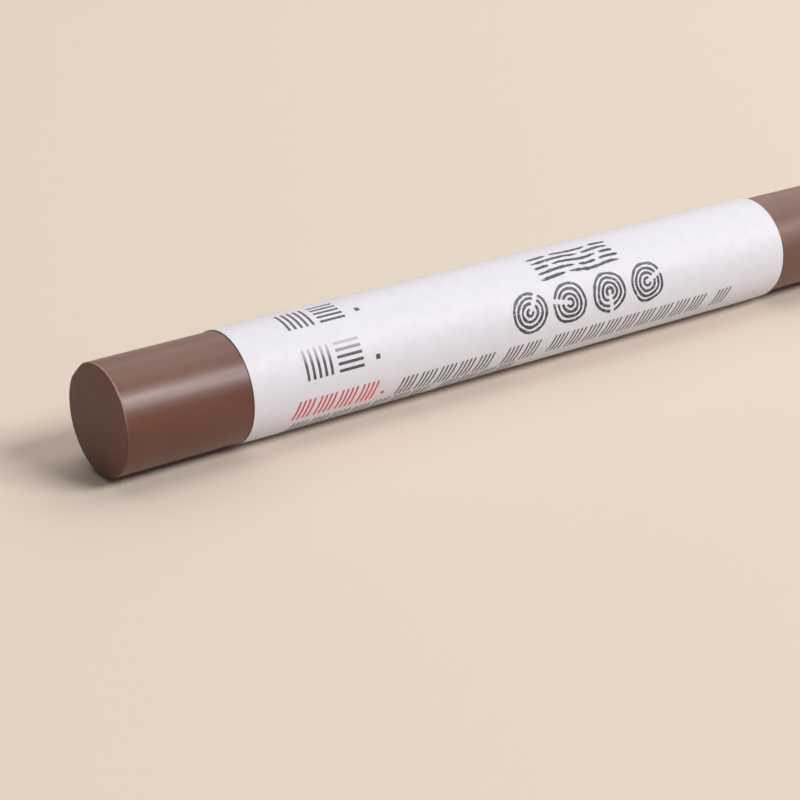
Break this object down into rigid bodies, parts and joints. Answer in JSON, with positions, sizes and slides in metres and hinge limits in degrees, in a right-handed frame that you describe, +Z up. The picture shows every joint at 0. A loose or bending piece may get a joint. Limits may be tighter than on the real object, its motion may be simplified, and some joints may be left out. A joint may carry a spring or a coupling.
{
  "type": "furniture repair wax stick",
  "caption": "Round brown stick of furniture repair wax with flat ends, wrapped round its middle in a white paper label that is pasted along a lap and in which the wax can be pushed along.",
  "frame": {"origin": "on the surface that the stick lies on, under the middle of the stick", "axes": "+X along the stick, from the near end in the picture to the far end; +Y away from the viewer, to the side with the label's lap; +Z up"},
  "size_m": [0.0954, 0.0115, 0.0114],
  "materials": {
    "wax": "satin brown pigmented wax",
    "paper": "smooth white printing paper, matt",
    "paste": "dried paste, hidden in the lap"
  },
  "bodies": {
    "sleeve": {"paper_label": "paper", "seam_glue": "paste"},
    "wax": {"wax_stick": "wax"}
  },
  "joints": [
    {"name": "wax_slide", "type": "slide", "parent": "sleeve", "child": "wax", "axis": [1, 0, 0], "range_m": [-0.0135, 0.0135]}
  ]
}
